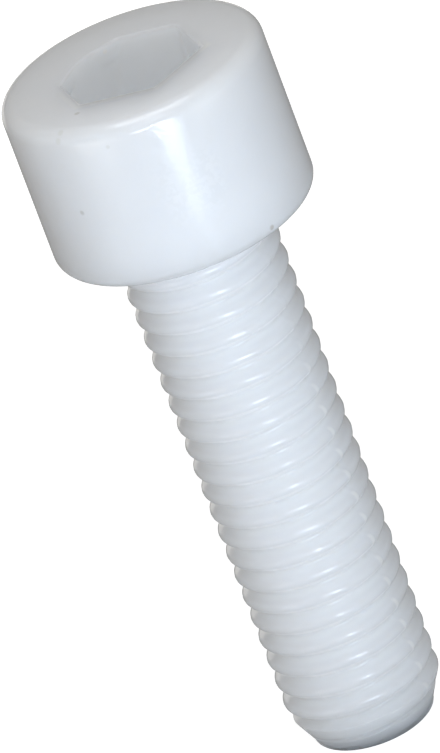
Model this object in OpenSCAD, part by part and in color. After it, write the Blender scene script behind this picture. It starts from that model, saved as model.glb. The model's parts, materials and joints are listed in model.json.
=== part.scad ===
// Socket head cap screw, M10 x 1.5 by 35 mm, moulded in one piece from nylon.
// The origin is on the screw's axis, at the bearing face under the head.
// +Z points out of the head's socket, and the screw stands on its flat end.

/* [Head] */
// Diameter of the head
head_d = 16.2; // [13:0.1:24]
// Height of the head above the bearing face
head_h = 10.7; // [8.5:0.1:16]
// Radius of the round edge around the top of the head
head_top_r = 0.9; // [0.2:0.05:1.5]
// Radius of the round edge around the bearing side of the head
head_seat_r = 0.8; // [0.2:0.05:1.2]

/* [Hexagon socket] */
// Width of the socket across its flats
socket_af = 8; // [5:0.1:10]
// Depth of the socket, from the top of the head to its floor
socket_depth = 6.2; // [3:0.1:7.5]
// Radius of the socket's six upright corners
socket_corner_r = 0.8; // [0.2:0.05:1.5]
// Turn of the socket about the screw's axis, in degrees
socket_turn = -18; // [-30:1:30]

/* [Shank] */
// Outside diameter of the thread, over its crests
thread_d = 9.8; // [7:0.05:12]
// Length of the screw under the head
length = 35; // [12:0.5:80]

/* [End] */
// Drop from the crests of the thread to the plain end
end_drop = 1; // [0.3:0.05:1.5]
// Length of the cone that leads from the thread to the plain end
end_cone = 2; // [0.3:0.1:3]
// Length of the plain end
end_plain = 0.35; // [0.35:0.05:4]
// Radius of the round edge around the flat end
end_r = 0.3; // [0.1:0.05:0.3]

/* [Hidden] */
// Facets of a full circle in the preview
$fn = 96;
// Length by which a cut passes a face, and by which joined solids overlap
overlap = 0.1;
nylon = [0.87, 0.89, 0.92];

head_radius = head_d / 2;
thread_radius = thread_d / 2;
end_radius = thread_radius - end_drop;
// Length of the straight cylinder over the thread, from the bearing face down
thread_length = length - end_cone - end_plain;

// Half outline of the head, with a round edge at its top and at its bearing side
module head_outline() {
    translate([head_radius - head_top_r, head_h - head_top_r]) circle(head_top_r);
    translate([head_radius - head_seat_r, head_seat_r]) circle(head_seat_r);
    polygon([
        [0, 0],
        [head_radius - head_seat_r, 0],
        [head_radius, head_seat_r],
        [head_radius, head_h - head_top_r],
        [head_radius - head_top_r, head_h],
        [0, head_h]
    ]);
}

// Half outline of the shank, from inside the head down to the flat end
module shank_outline() {
    translate([end_radius - end_r, end_r - length]) circle(end_r);
    polygon([
        [0, overlap],
        [thread_radius, overlap],
        [thread_radius, -thread_length],
        [end_radius, end_plain - length],
        [end_radius, end_r - length],
        [end_radius - end_r, -length],
        [0, -length]
    ]);
}

// Hexagon with round corners, whose sides lie af / 2 from the middle
module round_hexagon(af, r) {
    reach = (af / 2 - r) / cos(30);
    corners = [for (turn = [0 : 60 : 300]) [cos(turn), sin(turn)] * reach];
    for (corner = corners) {
        translate(corner) circle(r);
    }
    // Each side joins the points where two neighbouring corners meet it
    polygon([
        for (turn = [0 : 60 : 300], side = [-30, 30])
            corners[turn / 60] + [cos(turn + side), sin(turn + side)] * r
    ]);
}

module socket() {
    translate([0, 0, head_h - socket_depth])
        rotate(socket_turn)
            linear_extrude(socket_depth + overlap) round_hexagon(socket_af, socket_corner_r);
}

module screw() {
    color(nylon) difference() {
        union() {
            rotate_extrude() head_outline();
            rotate_extrude() shank_outline();
        }
        socket();
    }
}

screw();
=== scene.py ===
"""Looks of the M10 x 1.5 by 35 mm nylon socket head cap screw.

Everything is in the CAD frame: the origin is on the screw's axis at the bearing face under
the head, and +Z points out of the socket. Sizes below are in millimetres and become metres
when a mesh or a shader node is made.
"""

import json
import math

import bmesh
import bpy
import numpy as np
from mathutils import Matrix, Vector


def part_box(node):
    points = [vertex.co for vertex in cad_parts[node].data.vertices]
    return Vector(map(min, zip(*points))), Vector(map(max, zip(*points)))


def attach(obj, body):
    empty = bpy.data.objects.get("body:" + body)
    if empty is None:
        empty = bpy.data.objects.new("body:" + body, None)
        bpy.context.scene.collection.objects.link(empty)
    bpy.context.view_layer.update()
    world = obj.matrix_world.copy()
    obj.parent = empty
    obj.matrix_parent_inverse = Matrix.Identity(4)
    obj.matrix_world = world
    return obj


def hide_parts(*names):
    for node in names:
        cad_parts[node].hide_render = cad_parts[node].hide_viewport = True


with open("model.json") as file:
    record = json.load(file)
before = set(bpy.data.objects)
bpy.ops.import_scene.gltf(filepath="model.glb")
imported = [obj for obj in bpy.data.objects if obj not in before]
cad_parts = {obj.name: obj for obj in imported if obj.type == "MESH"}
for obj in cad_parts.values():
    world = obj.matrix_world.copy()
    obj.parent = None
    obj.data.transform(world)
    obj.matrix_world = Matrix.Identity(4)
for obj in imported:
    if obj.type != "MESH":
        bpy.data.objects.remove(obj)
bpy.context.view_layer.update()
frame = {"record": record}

MM = 0.001
low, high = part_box("screw")
pin = next(mount for mount in frame["record"]["mounts"] if mount["name"] == "thread")

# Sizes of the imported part
LENGTH = -low.z / MM
HEAD_H = high.z / MM
HEAD_R = high.y / MM
THREAD_R = pin["dims"]["r_mm"]
THREAD_LENGTH = pin["dims"]["length_mm"]
HEAD_TOP_R = 0.9
HEAD_SEAT_R = 0.8
SOCKET_HALF = 3.98  # half its width across the flats, a hair inside the solid's 4 mm
SOCKET_DEPTH = 6.2
SOCKET_CORNER_R = 0.8
SHARPEST_CORNER_R = 0.05
SOCKET_TURN = math.radians(-18)
END_DROP = 1.0
END_R = THREAD_R - END_DROP
END_CONE = 2.0
END_EDGE_R = 0.3

# Right-hand M10 coarse thread, with the soft crests of a moulded one
PITCH = 1.5
FLANK_ANGLE = math.radians(60)
CREST_ROUND = 0.40
ROOT_ROUND = 0.16
ROOT_R = THREAD_R - PITCH * math.sqrt(3) / 2 + CREST_ROUND + ROOT_ROUND
TAPER = 0.1  # how much smaller the thread's radius is at the end than at the head
VALLEY_Z = -5.695  # height of one valley on the -X side
STRAIGHT_END = -THREAD_LENGTH
CONE_END = STRAIGHT_END - END_CONE

# Small features of the moulding
MOUTH_R = 0.12
SOCKET_FLOOR_R = 0.35
WEB_DIRECTIONS = (math.radians(111), math.radians(151))
WEB_DISTANCE = 3.93
WEB_DEPTH = 2.4
WEB_RETREAT = 0.8
WEB_SOFTNESS = 0.05
SEAM_DIRECTION = math.radians(-41)
SEAM_HEIGHT = 0.05
SEAM_WIDTH = math.radians(1.3)

# Small marks and a painted glint: where each is, its radius and its colour
BLEMISHES_AND_GLINT = (
    # Dark specks on the top face, the side and beside the seat
    ((-3.8, -4.2, 10.7), 0.24, (0.62, 0.61, 0.59)),
    ((-5.6, -5.9, 5.4), 0.22, (0.66, 0.65, 0.64)),
    ((4.5, -6.7, 0.6), 0.24, (0.5, 0.46, 0.42)),
    # Faint speck and smudge under the head's top edge
    ((-2.8, -7.6, 9.5), 0.18, (0.77, 0.77, 0.77)),
    ((-5.1, -5.7, 10.6), 0.28, (0.78, 0.78, 0.77)),
    ((-5.4, -5.9, 10.2), 0.28, (0.78, 0.78, 0.77)),
    # Painted glint: a pale spot inside the socket's far edge, at a web
    ((-1.0, 3.8, 10.3), 0.22, (0.92, 0.92, 0.92)),
)

# How finely the mesh is made
COLUMNS = 216
SIDE_BANDS = 9
SEAT_RINGS = (6.9, 6.2, 5.5, 5.15)  # radii on the bearing face, from the head's edge inward
MERGE_DISTANCE = 0.004
SHORTEST_EDGE = 0.002
SHARP_ANGLE = math.radians(42)

angles = np.arange(COLUMNS) * 2 * math.pi / COLUMNS


# ---------------------------------------------------------------- outlines


def smooth_step(value, start, end):
    share = np.clip((value - start) / (end - start), 0.0, 1.0)
    return share * share * (3 - 2 * share)


def socket_radius(grow, depth):
    """Distance from the axis to the socket's wall along each column.

    grow moves the wall outward by that much, and depth is how far below the top it is.
    """
    half = SOCKET_HALF + grow
    corner = max(SOCKET_CORNER_R + grow, SHARPEST_CORNER_R)
    reach = (half - corner) / math.cos(math.pi / 6)
    # Angle from the nearest corner, from -30 to 30 degrees
    off = (angles - SOCKET_TURN + math.pi / 6) % (math.pi / 3) - math.pi / 6
    flat = half / np.cos(math.pi / 6 - np.abs(off))
    # Near a corner the wall is an arc about a centre at reach from the axis
    across = reach * np.sin(off)
    rounded = reach * np.cos(off) + np.sqrt(np.maximum(corner**2 - across**2, 0.0))
    touch = np.arctan2(corner * 0.5, reach + corner * math.cos(math.pi / 6))
    wall = np.where(np.abs(off) < touch, rounded, flat)
    # Two corners of the mouth are bridged by thin webs left by the mould, which fade out below
    retreat = WEB_RETREAT * smooth_step(depth, 0.3 * WEB_DEPTH, WEB_DEPTH)
    total = np.exp(-wall / WEB_SOFTNESS)
    for direction in WEB_DIRECTIONS:
        facing = np.maximum(np.cos(angles - direction), 0.3)
        total = total + np.exp(-((WEB_DISTANCE + grow) / facing + retreat) / WEB_SOFTNESS)
    return -WEB_SOFTNESS * np.log(total)


def thread_profile():
    """Axial places of the rows of one turn, measured from a valley, and their radii."""
    rows = []
    for tilt in (0.0, FLANK_ANGLE / 2, FLANK_ANGLE):
        rows.append((ROOT_ROUND * math.sin(tilt), ROOT_R + ROOT_ROUND * (1 - math.cos(tilt))))
    crest = []
    for tilt in (FLANK_ANGLE, FLANK_ANGLE * 2 / 3, FLANK_ANGLE / 3, 0.0):
        radius = THREAD_R - CREST_ROUND + CREST_ROUND * math.cos(tilt)
        crest.append((PITCH / 2 - CREST_ROUND * math.sin(tilt), radius))
    rows.append(((rows[-1][0] + crest[0][0]) / 2, (rows[-1][1] + crest[0][1]) / 2))
    rows += crest
    mirrored = [(PITCH - along, radius) for along, radius in reversed(rows[1:-1])]
    return np.array(rows + mirrored)


PROFILE = thread_profile()
PER_TURN = len(PROFILE)


def thread_radius(z, theta):
    """Radius of the threaded shank at heights z along the columns at theta."""
    phase = (z - VALLEY_Z - PITCH * (theta - math.pi) / (2 * math.pi)) % PITCH
    places = np.append(PROFILE[:, 0], PITCH)
    radii = np.append(PROFILE[:, 1], PROFILE[0, 1])
    radius = np.interp(phase, places, radii)
    # The mould's parting line leaves a low ridge down each side
    gap = (theta - SEAM_DIRECTION + math.pi / 2) % math.pi - math.pi / 2
    radius = radius + SEAM_HEIGHT * np.exp(-((gap / SEAM_WIDTH) ** 2))
    cone = THREAD_R - END_DROP * (STRAIGHT_END - z) / END_CONE
    return np.minimum(radius, np.maximum(cone, END_R)) + TAPER * z / LENGTH


# ---------------------------------------------------------------- mesh of the screw


def ring(radius, z):
    radius = np.broadcast_to(radius, angles.shape)
    z = np.broadcast_to(z, angles.shape)
    return np.stack([radius * np.cos(angles), radius * np.sin(angles), z], axis=1)


def arc(steps):
    """Angles from 0 to 90 degrees in equal steps, with both ends."""
    return [math.pi / 2 * k / steps for k in range(steps + 1)]


def socket_rings():
    """From the middle of the socket's floor up to the round mouth."""
    rings = []
    floor_z = HEAD_H - SOCKET_DEPTH
    floor_edge = socket_radius(-SOCKET_FLOOR_R, SOCKET_DEPTH)
    for share in (0.12, 0.3, 0.5, 0.7, 0.87, 1.0):
        rings.append(ring(floor_edge * share, floor_z))
    for turn in arc(4)[1:]:
        out = SOCKET_FLOOR_R * (math.sin(turn) - 1)
        z = floor_z + SOCKET_FLOOR_R * (1 - math.cos(turn))
        rings.append(ring(socket_radius(out, SOCKET_DEPTH), z))
    for depth in (5.0, 4.1, 3.3, 2.6, 2.0, 1.6, 1.35, 1.1, 0.85, 0.6, 0.4):
        rings.append(ring(socket_radius(0.0, depth), HEAD_H - depth))
    for turn in arc(5):
        out = MOUTH_R * (1 - math.cos(turn))
        z = HEAD_H - MOUTH_R * (1 - math.sin(turn))
        rings.append(ring(socket_radius(out, 0.0), z))
    return rings


def head_rings():
    """From the top face over the head's edge and side to the bearing face."""
    rings = []
    inner = socket_radius(MOUTH_R, 0.0)
    outer = HEAD_R - HEAD_TOP_R
    for share in (0.08, 0.2, 0.36, 0.52, 0.68, 0.84, 0.95):
        rings.append(ring(inner + (outer - inner) * share, HEAD_H))
    for turn in arc(9):
        z = HEAD_H - HEAD_TOP_R * (1 - math.cos(turn))
        rings.append(ring(outer + HEAD_TOP_R * math.sin(turn), z))
    side_top = HEAD_H - HEAD_TOP_R
    for k in range(1, SIDE_BANDS):
        rings.append(ring(HEAD_R, side_top + (HEAD_SEAT_R - side_top) * k / SIDE_BANDS))
    for turn in arc(8):
        radius = HEAD_R - HEAD_SEAT_R * (1 - math.cos(turn))
        rings.append(ring(radius, HEAD_SEAT_R * (1 - math.sin(turn))))
    for radius in SEAT_RINGS:
        rings.append(ring(radius, 0.0))
    return rings


def thread_rings():
    """Rows that climb with the helix, cut off level at the head and at the cone's end."""
    rings = []
    # The rows start over a turn above the bearing face and run on below the cone's end
    turns = math.ceil((THREAD_LENGTH + END_CONE) / PITCH) + 3
    top = VALLEY_Z - PITCH / 2 + PITCH * math.ceil((-VALLEY_Z + 1.6 * PITCH) / PITCH)
    climb = PITCH * angles / (2 * math.pi)
    for step in range(turns * PER_TURN):
        turn, part = divmod(step, PER_TURN)
        down = PITCH - PROFILE[-part, 0] if part else 0.0
        z = np.clip(top - turn * PITCH - down + climb, CONE_END, 0.0)
        rings.append(ring(thread_radius(z, angles), z))
    return rings


def end_rings():
    """Plain end with a round edge and a flat face."""
    rings = []
    end_r = END_R - TAPER
    for turn in arc(6):
        radius = end_r - END_EDGE_R * (1 - math.cos(turn))
        rings.append(ring(radius, -LENGTH + END_EDGE_R * (1 - math.sin(turn))))
    for share in (0.85, 0.6, 0.35, 0.12):
        rings.append(ring((end_r - END_EDGE_R) * share, -LENGTH))
    return rings


def number(row, column):
    """Number of a ring's point, after the one point in the middle of the socket's floor."""
    return 1 + row * COLUMNS + column % COLUMNS


def band(upper, lower, columns=COLUMNS):
    """Faces between two rings."""
    return [
        (number(upper, j), number(upper, j + 1), number(lower, j + 1), number(lower, j))
        for j in range(columns)
    ]


def helix_faces(first, last):
    """Faces of the thread, whose rows join the rows one turn up where a full turn ends."""
    faces = []
    end = COLUMNS - 1
    for row in range(first, last):
        faces += band(row, row + 1, end)
        upper = max(row - PER_TURN, first)
        lower = max(row + 1 - PER_TURN, first)
        faces.append((number(row, end), number(upper, 0), number(lower, 0), number(row + 1, end)))
    # The last turn of the strip is level, and closes on itself
    for row in range(last - PER_TURN, last):
        faces.append((number(last, end), number(row, 0), number(row + 1, 0)))
    return faces


def screw_mesh():
    above, thread = socket_rings() + head_rings(), thread_rings()
    rings = above + thread + end_rings()
    first, last = len(above), len(above) + len(thread) - 1
    bottom = len(rings) - 1
    centre = np.array([[0.0, 0.0, HEAD_H - SOCKET_DEPTH]])
    tip = np.array([[0.0, 0.0, -LENGTH]])
    points = np.concatenate([centre, *rings, tip])

    faces = [(0, number(0, j + 1), number(0, j)) for j in range(COLUMNS)]
    # The bearing face meets the thread's first row, which lies level with it
    for row in range(first):
        faces += band(row, row + 1)
    faces += helix_faces(first, last)
    for row in range(last, bottom):
        faces += band(row, row + 1)
    tip_number = len(points) - 1
    faces += [(tip_number, number(bottom, j), number(bottom, j + 1)) for j in range(COLUMNS)]

    mesh = bpy.data.meshes.new("screw_body")
    mesh.from_pydata((points * MM).tolist(), [], faces)
    shape = bmesh.new()
    shape.from_mesh(mesh)
    bmesh.ops.remove_doubles(shape, verts=shape.verts, dist=MERGE_DISTANCE * MM)
    bmesh.ops.dissolve_degenerate(shape, edges=shape.edges, dist=SHORTEST_EDGE * MM)
    bmesh.ops.recalc_face_normals(shape, faces=shape.faces)
    shape.to_mesh(mesh)
    shape.free()
    mesh.shade_smooth()
    mesh.set_sharp_from_angle(angle=SHARP_ANGLE)
    return mesh


screw = bpy.data.objects.new("screw_body", screw_mesh())
bpy.context.scene.collection.objects.link(screw)


# ---------------------------------------------------------------- nylon

# Noise cells to a metre
CLOUD_SCALE = 260
GRAIN_SCALE = 3000
PEEL_SCALE = 2400

PEEL_HEIGHT = 0.04  # greatest height of the orange peel


class Painter:
    """Adds the shader nodes of one material. A mask is a value from 0 to 1."""

    def __init__(self, material):
        material.use_nodes = True
        self.nodes = material.node_tree.nodes
        self.links = material.node_tree.links
        self.place = self.nodes.new("ShaderNodeTexCoord")
        split = self.nodes.new("ShaderNodeSeparateXYZ")
        self.links.new(self.place.outputs["Object"], split.inputs[0])
        self.x, self.y, self.z = split.outputs
        squares = self.math("ADD", self.times(self.x, self.x), self.times(self.y, self.y))
        self.across = self.math("SQRT", squares)

    def math(self, operation, *values):
        node = self.nodes.new("ShaderNodeMath")
        node.operation = operation
        for socket, value in zip(node.inputs, values):
            if isinstance(value, (int, float)):
                socket.default_value = value
            else:
                self.links.new(value, socket)
        return node.outputs[0]

    def times(self, first, *others):
        """Product of two or more values."""
        for other in others:
            first = self.math("MULTIPLY", first, other)
        return first

    def vector(self, operation, other):
        """Result of a vector operation on the point that is shaded and another vector."""
        node = self.nodes.new("ShaderNodeVectorMath")
        node.operation = operation
        node.inputs[1].default_value = other
        self.links.new(self.place.outputs["Object"], node.inputs[0])
        return node.outputs["Value"]

    def noise(self, scale, detail, roughness):
        node = self.nodes.new("ShaderNodeTexNoise")
        node.inputs["Scale"].default_value = scale
        node.inputs["Detail"].default_value = detail
        node.inputs["Roughness"].default_value = roughness
        self.links.new(self.place.outputs["Object"], node.inputs["Vector"])
        return node.outputs["Fac"]

    def ramp(self, source, start, end):
        """Colour that runs between two (position, colour) ends."""
        node = self.nodes.new("ShaderNodeValToRGB")
        for element, (position, colour) in zip(node.color_ramp.elements, (start, end)):
            element.position = position
            element.color = (*colour, 1)
        self.links.new(source, node.inputs["Fac"])
        return node.outputs["Color"]

    def fade(self, source, empty, full):
        """Mask that is 0 where source is at empty, 1 where it is at full, smooth between."""
        node = self.nodes.new("ShaderNodeMapRange")
        node.interpolation_type = "SMOOTHSTEP"
        node.inputs["From Min"].default_value = empty
        node.inputs["From Max"].default_value = full
        self.links.new(source, node.inputs["Value"])
        return node.outputs["Result"]

    def fade_mm(self, source, empty, full):
        """Mask like fade's, with empty and full in millimetres."""
        return self.fade(source, empty * MM, full * MM)

    def tint(self, under, mask, colour):
        node = self.nodes.new("ShaderNodeMix")
        node.data_type = "RGBA"
        self.links.new(mask, node.inputs[0])
        self.links.new(under, node.inputs[6])
        node.inputs[7].default_value = (*colour, 1)
        return node.outputs[2]


def off_flats(paint):
    """How far outside the socket's hexagon a point lies, in metres."""
    widest = None
    for k in range(3):
        direction = SOCKET_TURN + math.pi / 6 + k * math.pi / 3
        dot = paint.vector("DOT_PRODUCT", (math.cos(direction), math.sin(direction), 0))
        reach = paint.math("ABSOLUTE", dot)
        widest = reach if widest is None else paint.math("MAXIMUM", widest, reach)
    return paint.math("SUBTRACT", widest, SOCKET_HALF * MM)


def lower_flanks(paint, on_thread):
    """Mask of the thread's faces that look down."""
    facing = paint.nodes.new("ShaderNodeSeparateXYZ")
    paint.links.new(paint.place.outputs["Normal"], facing.inputs[0])
    looks_down = paint.fade(facing.outputs[2], -0.25, -0.75)
    return paint.times(looks_down, paint.fade_mm(paint.across, 5.2, 5.0), on_thread)


def nylon_colour(paint, outside, near, on_thread, under):
    # Cloudy colour of the raw polymer
    cloud = paint.noise(CLOUD_SCALE, 2, 0.5)
    colour = paint.ramp(cloud, (0.3, (0.831, 0.835, 0.860)), (0.7, (0.851, 0.853, 0.870)))

    # Painted light: the socket's inside is painted lighter and cooler, for the bluish light that
    # shines in through its walls
    on_head = paint.fade_mm(paint.z, 3.0, 4.0)
    below_mouth = paint.fade_mm(paint.z, HEAD_H - 0.05, HEAD_H - 0.3)
    inside = paint.times(paint.fade_mm(outside, 0.15, 0.0), paint.times(on_head, below_mouth))
    colour = paint.tint(colour, inside, (0.89, 0.92, 0.97))
    # Painted light: a cream glow along the socket's near lip, where the thin wall glows
    lip = paint.times(paint.fade_mm(outside, 0.7, 0.3), paint.fade_mm(outside, -0.02, 0.06))
    colour = paint.tint(colour, paint.times(lip, near, on_head), (0.925, 0.92, 0.89))

    # The parting line shows paler where it crosses the crests
    turned = paint.math("SUBTRACT", paint.math("ARCTAN2", paint.y, paint.x), SEAM_DIRECTION)
    seam = paint.fade(paint.math("ABSOLUTE", paint.math("SINE", turned)), 0.045, 0.015)
    crests = paint.fade_mm(paint.across, THREAD_R - 0.5, THREAD_R - 0.1)
    seam = paint.times(seam, crests, paint.fade_mm(paint.z, -6, -14))
    colour = paint.tint(colour, seam, (0.95, 0.95, 0.95))

    # Light that seeps through the thin crests fills the thread's valleys and lower flanks
    valley = paint.fade_mm(paint.across, ROOT_R + 0.45, ROOT_R)
    colour = paint.tint(colour, paint.times(valley, on_thread), (0.90, 0.91, 0.925))
    colour = paint.tint(colour, under, (0.96, 0.965, 0.98))

    # Specks, a smudge and a painted glint
    for place, radius, mark in BLEMISHES_AND_GLINT:
        away = paint.vector("DISTANCE", Vector(place) * MM)
        colour = paint.tint(colour, paint.fade_mm(away, radius, 0.3 * radius), mark)
    return colour


def nylon_gloss(paint, shader, outside, near, under):
    """Glossy skin with the orange peel and the spark-worn grain of the mould."""
    side = paint.fade_mm(paint.across, HEAD_R - 0.12, HEAD_R)
    front = paint.fade_mm(paint.y, -0.62 * HEAD_R, -0.85 * HEAD_R)
    head_front = paint.times(side, front)

    # The grazing edges of the thread's lower flanks and of the socket's near lip are matt
    at_top = paint.fade_mm(paint.z, HEAD_H - 0.3, HEAD_H - 0.1)
    mouth = paint.times(paint.fade_mm(outside, 0.2, 0.1), at_top)
    matt = paint.math("MAXIMUM", under, paint.times(mouth, near))
    # Matt grains in the middle of the head's side, which run together towards the seat
    off_middle = paint.math("ABSOLUTE", paint.math("SUBTRACT", paint.x, 1.0 * MM))
    middle = paint.fade_mm(off_middle, 2.4, 1.2)
    spots = paint.fade(paint.noise(GRAIN_SCALE, 1, 0.5), 0.56, 0.44)
    spots = paint.times(spots, paint.fade_mm(paint.z, 8.6, 5.8), middle, 0.65)
    grain = paint.math("MAXIMUM", spots, paint.times(paint.fade_mm(paint.z, 5.0, 2.0), 0.7))
    matt = paint.math("MAXIMUM", matt, paint.times(grain, head_front))
    paint.links.new(paint.math("SUBTRACT", 1.0, paint.times(matt, 0.9)), shader.inputs["Coat Weight"])
    shader.inputs["Coat Roughness"].default_value = 0.11
    shader.inputs["Coat IOR"].default_value = 1.6

    bump = paint.nodes.new("ShaderNodeBump")
    bump.inputs["Strength"].default_value = 1.0
    bump.inputs["Distance"].default_value = PEEL_HEIGHT * MM
    relief = paint.math("ADD", paint.times(head_front, 0.85), 0.1)
    paint.links.new(paint.times(paint.noise(PEEL_SCALE, 3, 0.6), relief), bump.inputs["Height"])
    paint.links.new(bump.outputs["Normal"], shader.inputs["Coat Normal"])


def nylon_material():
    material = bpy.data.materials.new("natural_nylon")
    paint = Painter(material)
    shader = paint.nodes["Principled BSDF"]
    outside = off_flats(paint)
    near = paint.fade_mm(paint.y, 0.0, -2.0)
    above_end = paint.fade_mm(paint.z, CONE_END + 0.15, STRAIGHT_END - 0.35)
    on_thread = paint.times(paint.fade_mm(paint.z, 0.0, -0.4), above_end)
    under = lower_flanks(paint, on_thread)
    colour = nylon_colour(paint, outside, near, on_thread, under)
    paint.links.new(colour, shader.inputs["Base Color"])
    # Light goes in and scatters under the skin, and the gloss is left to the coat
    shader.inputs["Roughness"].default_value = 0.5
    shader.inputs["Specular IOR Level"].default_value = 0.0
    shader.inputs["Subsurface Weight"].default_value = 1.0
    shader.inputs["Subsurface Radius"].default_value = (1.0, 0.95, 0.9)
    shader.inputs["Subsurface Scale"].default_value = 0.011
    nylon_gloss(paint, shader, outside, near, under)
    return material


screw.data.materials.append(nylon_material())
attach(screw, "root")
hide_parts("screw")


# ---------------------------------------------------------------- floor and world

FLOOR_REACH = 3.0  # metres from the middle to each edge
FLOOR_GAP = 0.02 * MM  # keeps the floor from sharing a plane with the screw's end
FLOOR_PAINT = 0.58
FLOOR_GLOW = 0.86
ROOM_LIGHT = 0.345


def floor_material():
    """Light grey paint that also glows, to the camera alone, and so looks white."""
    material = bpy.data.materials.new("white_floor")
    material.use_nodes = True
    nodes, links = material.node_tree.nodes, material.node_tree.links
    nodes.remove(nodes["Principled BSDF"])
    diffuse = nodes.new("ShaderNodeBsdfDiffuse")
    diffuse.inputs["Color"].default_value = (FLOOR_PAINT, FLOOR_PAINT, FLOOR_PAINT, 1)
    glow = nodes.new("ShaderNodeEmission")
    glow.inputs["Color"].default_value = (1, 1, 1, 1)
    path = nodes.new("ShaderNodeLightPath")
    lift = nodes.new("ShaderNodeMath")
    lift.operation = "MULTIPLY"
    lift.inputs[1].default_value = FLOOR_GLOW
    links.new(path.outputs["Is Camera Ray"], lift.inputs[0])
    links.new(lift.outputs[0], glow.inputs["Strength"])
    add = nodes.new("ShaderNodeAddShader")
    links.new(diffuse.outputs[0], add.inputs[0])
    links.new(glow.outputs[0], add.inputs[1])
    links.new(add.outputs[0], nodes["Material Output"].inputs["Surface"])
    return material


def lay_floor():
    level = low.z - FLOOR_GAP
    corners = [(-1, -1), (1, -1), (1, 1), (-1, 1)]
    points = [(x * FLOOR_REACH, y * FLOOR_REACH, level) for x, y in corners]
    mesh = bpy.data.meshes.new("floor")
    mesh.from_pydata(points, [], [(0, 1, 2, 3)])
    mesh.materials.append(floor_material())
    floor = bpy.data.objects.new("floor", mesh)
    bpy.context.scene.collection.objects.link(floor)


def light_world():
    """Soft light from all around, and plain white to the camera."""
    world = bpy.data.worlds.new("studio")
    bpy.context.scene.world = world
    world.use_nodes = True
    nodes, links = world.node_tree.nodes, world.node_tree.links
    sky = nodes["Background"]
    path = nodes.new("ShaderNodeLightPath")
    mix = nodes.new("ShaderNodeMix")
    mix.data_type = "FLOAT"
    mix.inputs[2].default_value = ROOM_LIGHT
    mix.inputs[3].default_value = 1.0
    links.new(path.outputs["Is Camera Ray"], mix.inputs[0])
    links.new(mix.outputs[0], sky.inputs["Strength"])
    sky.inputs["Color"].default_value = (1.0, 0.99, 0.965, 1)


lay_floor()
light_world()


# ---------------------------------------------------------------- lamps


def softbox(name, place, aim, size, watts, colour, tilt=0):
    """Rectangular lamp at place that faces aim, turned by tilt degrees about its beam."""
    light = bpy.data.lights.new(name, "AREA")
    light.shape = "RECTANGLE"
    light.size, light.size_y = size[0] * MM, size[1] * MM
    light.energy = watts
    light.color = colour
    lamp = bpy.data.objects.new(name, light)
    bpy.context.scene.collection.objects.link(lamp)
    start, target = Vector(place) * MM, Vector(aim) * MM
    facing = (target - start).to_track_quat("-Z", "Y").to_matrix()
    turned = facing @ Matrix.Rotation(math.radians(tilt), 3, "Z")
    lamp.matrix_world = Matrix.Translation(start) @ turned.to_4x4()
    lamp.visible_camera = False


WARM, PALE, COOL = (1.0, 0.97, 0.93), (0.94, 0.97, 1.0), (0.74, 0.86, 1.0)
softbox("left_softbox", (-95, -80, -24), (0, 0, -24), (70, 60), 0.0265, WARM)
softbox("right_softbox", (95, -80, -24), (0, 0, -24), (70, 60), 0.0155, PALE)
# The strip makes the long highlight on the head's side, and the bar adds cool light to the front
softbox("strip_softbox", (10, -75, 0), (3, 0, 0), (20, 50), 0.0263, COOL, tilt=22)
softbox("bar_softbox", (-6, -75, 10), (0, 0, 10), (34, 12), 0.0085, COOL)
softbox("high_softbox", (-10, -124, 153), (0, 0, 5), (100, 80), 0.009, PALE)
softbox("top_softbox", (1, -10, 40), (1, -1, 8), (26, 18), 0.0037, PALE)
softbox("back_softbox", (-20, 130, -24), (0, 0, -12), (110, 60), 0.016, WARM)


# ---------------------------------------------------------------- camera

VIEW_DISTANCE = 800
VIEW_ELEVATION = math.radians(24.87)
VIEW_BASE_Z = -12  # height from which the elevation is measured
AIM = Vector((-1.441, 0, -10.272))
ROLL = math.radians(20.731)
SENSOR_HEIGHT = 24
FOCAL_IN_SENSOR_HEIGHTS = 17.9203


def place_camera():
    """Camera that looks down on the screw, leaned over as the photo shows it."""
    lens = bpy.data.cameras.new("camera")
    lens.sensor_fit = "VERTICAL"
    lens.sensor_height = SENSOR_HEIGHT
    lens.lens = SENSOR_HEIGHT * FOCAL_IN_SENSOR_HEIGHTS
    lens.clip_start, lens.clip_end = 0.01, 20
    camera = bpy.data.objects.new("camera", lens)
    bpy.context.scene.collection.objects.link(camera)
    back = -VIEW_DISTANCE * math.cos(VIEW_ELEVATION)
    eye = Vector((0, back, VIEW_BASE_Z + VIEW_DISTANCE * math.sin(VIEW_ELEVATION)))
    forward = (AIM - eye).normalized()
    right = forward.cross(Vector((0, 0, 1))).normalized()
    up = right.cross(forward)
    turned_right = right * math.cos(ROLL) - up * math.sin(ROLL)
    turned_up = right * math.sin(ROLL) + up * math.cos(ROLL)
    pose = Matrix((turned_right, turned_up, -forward)).transposed().to_4x4()
    pose.translation = eye * MM
    camera.matrix_world = pose
    bpy.context.scene.camera = camera


place_camera()
bpy.context.scene.view_settings.view_transform = "Standard"
